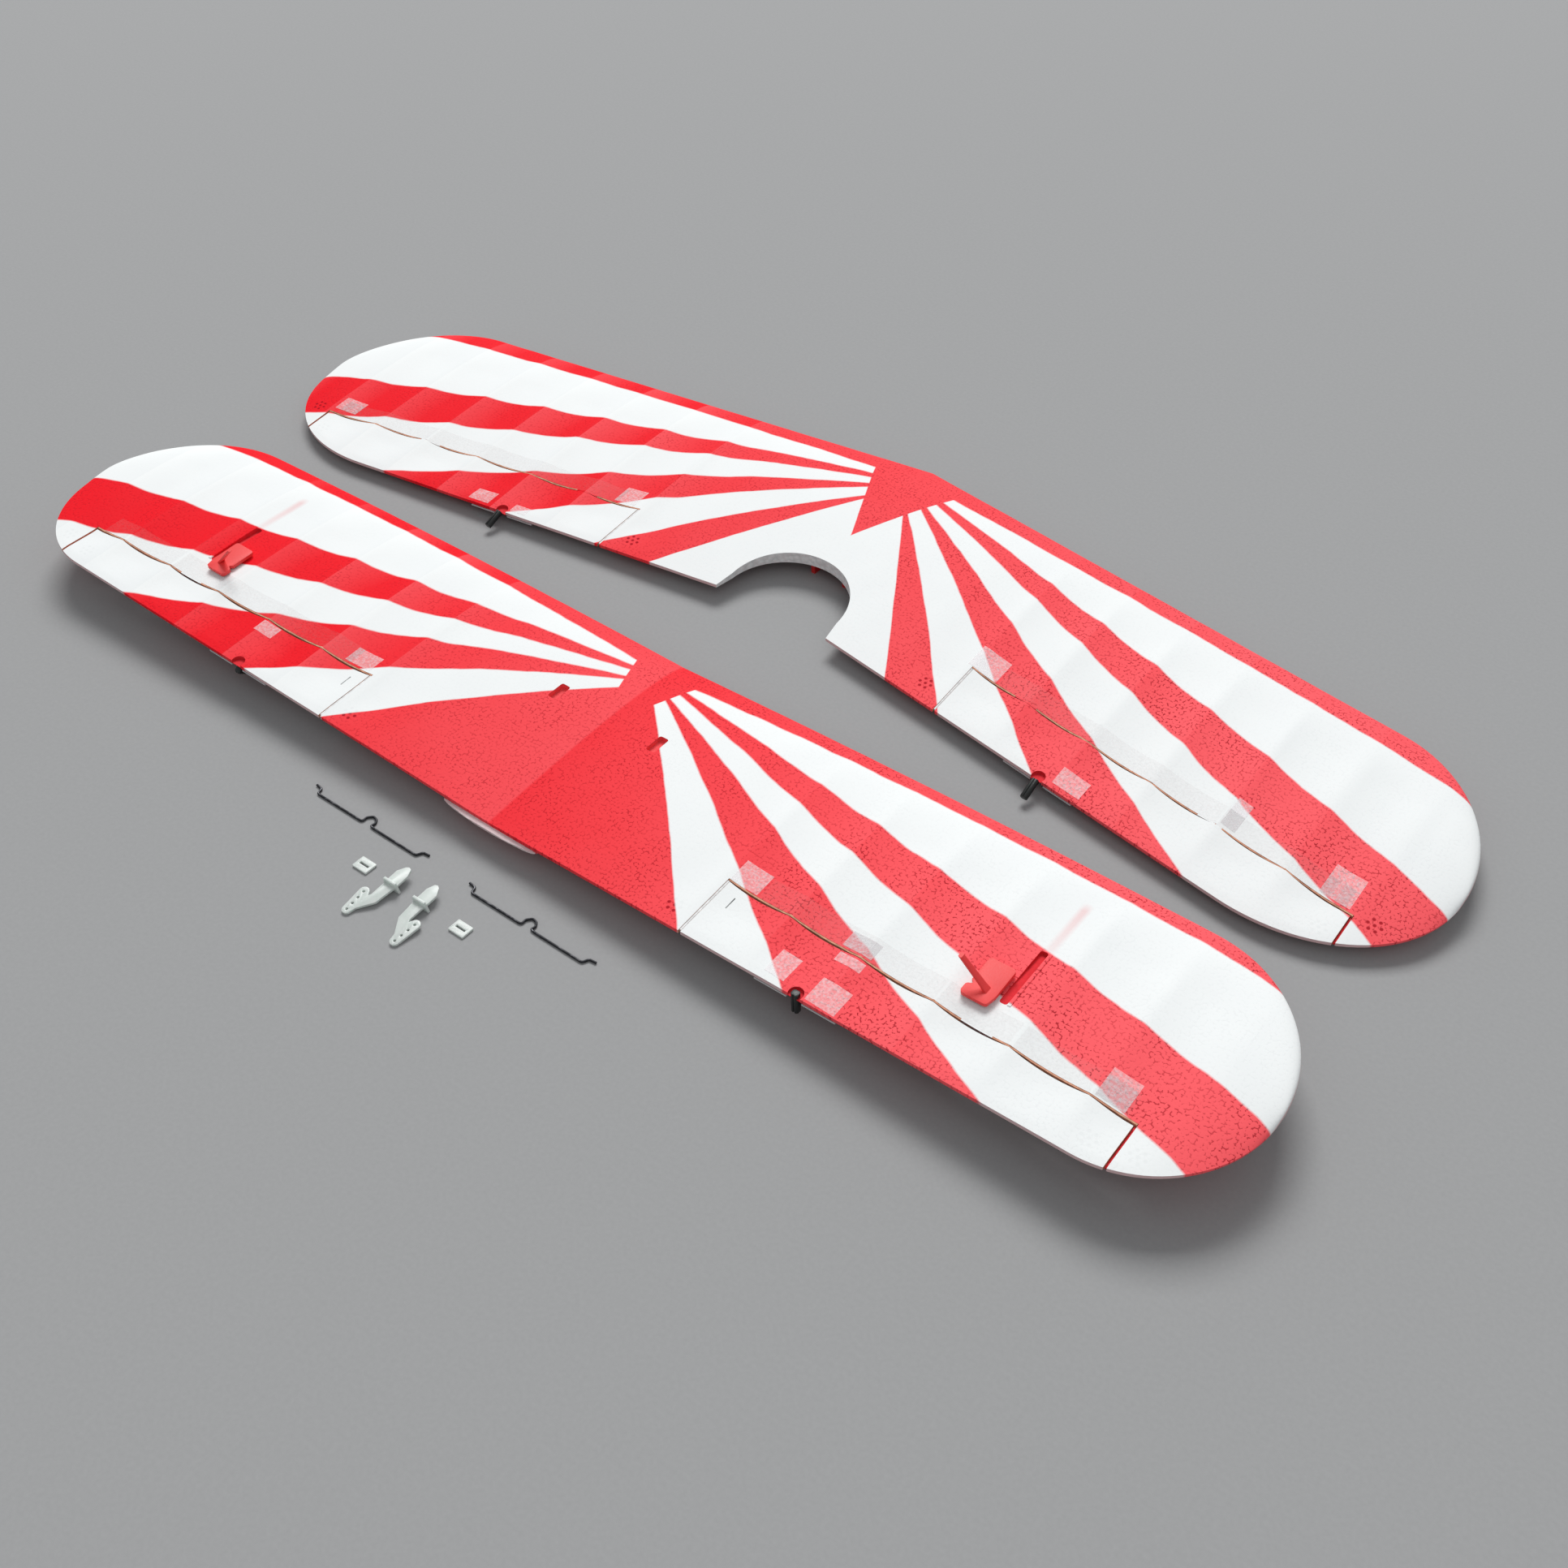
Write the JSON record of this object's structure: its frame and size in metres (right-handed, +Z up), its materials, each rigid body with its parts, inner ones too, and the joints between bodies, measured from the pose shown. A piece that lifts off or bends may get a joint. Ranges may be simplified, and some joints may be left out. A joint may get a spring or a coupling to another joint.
{
  "type": "wing set",
  "caption": "Foam RC biplane wing set laid out flat: straight lower wing, swept upper wing with a pilot's cut-out, hinged ailerons, and loose wire pushrods, control horns and backplates.",
  "frame": {"origin": "on the table, under the middle of the layout's bounding box", "axes": "+X along the span to the right wing tips, +Y from the lower wing's trailing edge to its leading edge, +Z up"},
  "size_m": [0.4404, 0.2551, 0.0245],
  "materials": {
    "white_foam": "moulded bead foam, painted with red sunburst rays",
    "red_foam": "moulded bead foam, painted red",
    "red_plastic": "satin moulded plastic",
    "black_plastic": "satin moulded plastic",
    "clear_strip": "frosted clear plastic",
    "white_nylon": "translucent natural nylon",
    "black_wire": "blackened steel wire"
  },
  "bodies": {
    "lower": {"lower_wing": "white_foam", "belly_fairing": "red_foam", "strut_plate_left": "red_plastic", "strut_plate_right": "red_plastic"},
    "lower_left_aileron": {"lower_aileron_left": "white_foam", "lower_link_strip_left": "clear_strip", "lower_link_socket_left": "black_plastic"},
    "lower_right_aileron": {"lower_aileron_right": "white_foam", "lower_link_strip_right": "clear_strip", "lower_link_socket_right": "black_plastic"},
    "upper": {"upper_wing": "white_foam", "cabane_mount": "red_plastic"},
    "upper_left_aileron": {"upper_aileron_left": "white_foam", "upper_link_strip_left": "clear_strip", "upper_link_socket_left": "black_plastic"},
    "upper_right_aileron": {"upper_aileron_right": "white_foam", "upper_link_strip_right": "clear_strip", "upper_link_socket_right": "black_plastic"},
    "rod_left": {"pushrod_left": "black_wire"},
    "rod_right": {"pushrod_right": "black_wire"},
    "horn_left": {"control_horn_left": "white_nylon"},
    "horn_right": {"control_horn_right": "white_nylon"},
    "plate_left": {"backplate_left": "white_nylon"},
    "plate_right": {"backplate_right": "white_nylon"}
  },
  "joints": [
    {"name": "lower_left_hinge", "type": "hinge", "parent": "lower", "child": "lower_left_aileron", "pos_m": [-0.0688, -0.0642, 0.01243], "axis": [0.9986, 0.0429, -0.0305], "range_deg": [-25, 25]},
    {"name": "lower_right_hinge", "type": "hinge", "parent": "lower", "child": "lower_right_aileron", "pos_m": [0.0666, -0.0642, 0.01243], "axis": [0.9986, -0.0429, 0.0305], "range_deg": [-25, 25]},
    {"name": "upper_left_hinge", "type": "hinge", "parent": "upper", "child": "upper_left_aileron", "pos_m": [-0.06682, 0.05276, 0.00847], "axis": [0.9896, 0.143, 0.0149], "range_deg": [-25, 25]},
    {"name": "upper_right_hinge", "type": "hinge", "parent": "upper", "child": "upper_right_aileron", "pos_m": [0.06677, 0.05108, 0.00847], "axis": [0.9857, -0.1678, -0.0149], "range_deg": [-25, 25]},
    {"name": "upper_wing_lift", "type": "slide", "parent": "lower", "child": "upper", "axis": [0, 0, 1], "range_m": [0, 0.06]},
    {"name": "rod_left_lift", "type": "slide", "parent": "lower", "child": "rod_left", "axis": [0, 0, 1], "range_m": [0, 0.04]},
    {"name": "rod_right_lift", "type": "slide", "parent": "lower", "child": "rod_right", "axis": [0, 0, 1], "range_m": [0, 0.04]},
    {"name": "horn_left_lift", "type": "slide", "parent": "lower", "child": "horn_left", "axis": [0, 0, 1], "range_m": [0, 0.04]},
    {"name": "horn_right_lift", "type": "slide", "parent": "lower", "child": "horn_right", "axis": [0, 0, 1], "range_m": [0, 0.04]},
    {"name": "plate_left_lift", "type": "slide", "parent": "lower", "child": "plate_left", "axis": [0, 0, 1], "range_m": [0, 0.04]},
    {"name": "plate_right_lift", "type": "slide", "parent": "lower", "child": "plate_right", "axis": [0, 0, 1], "range_m": [0, 0.04]}
  ]
}
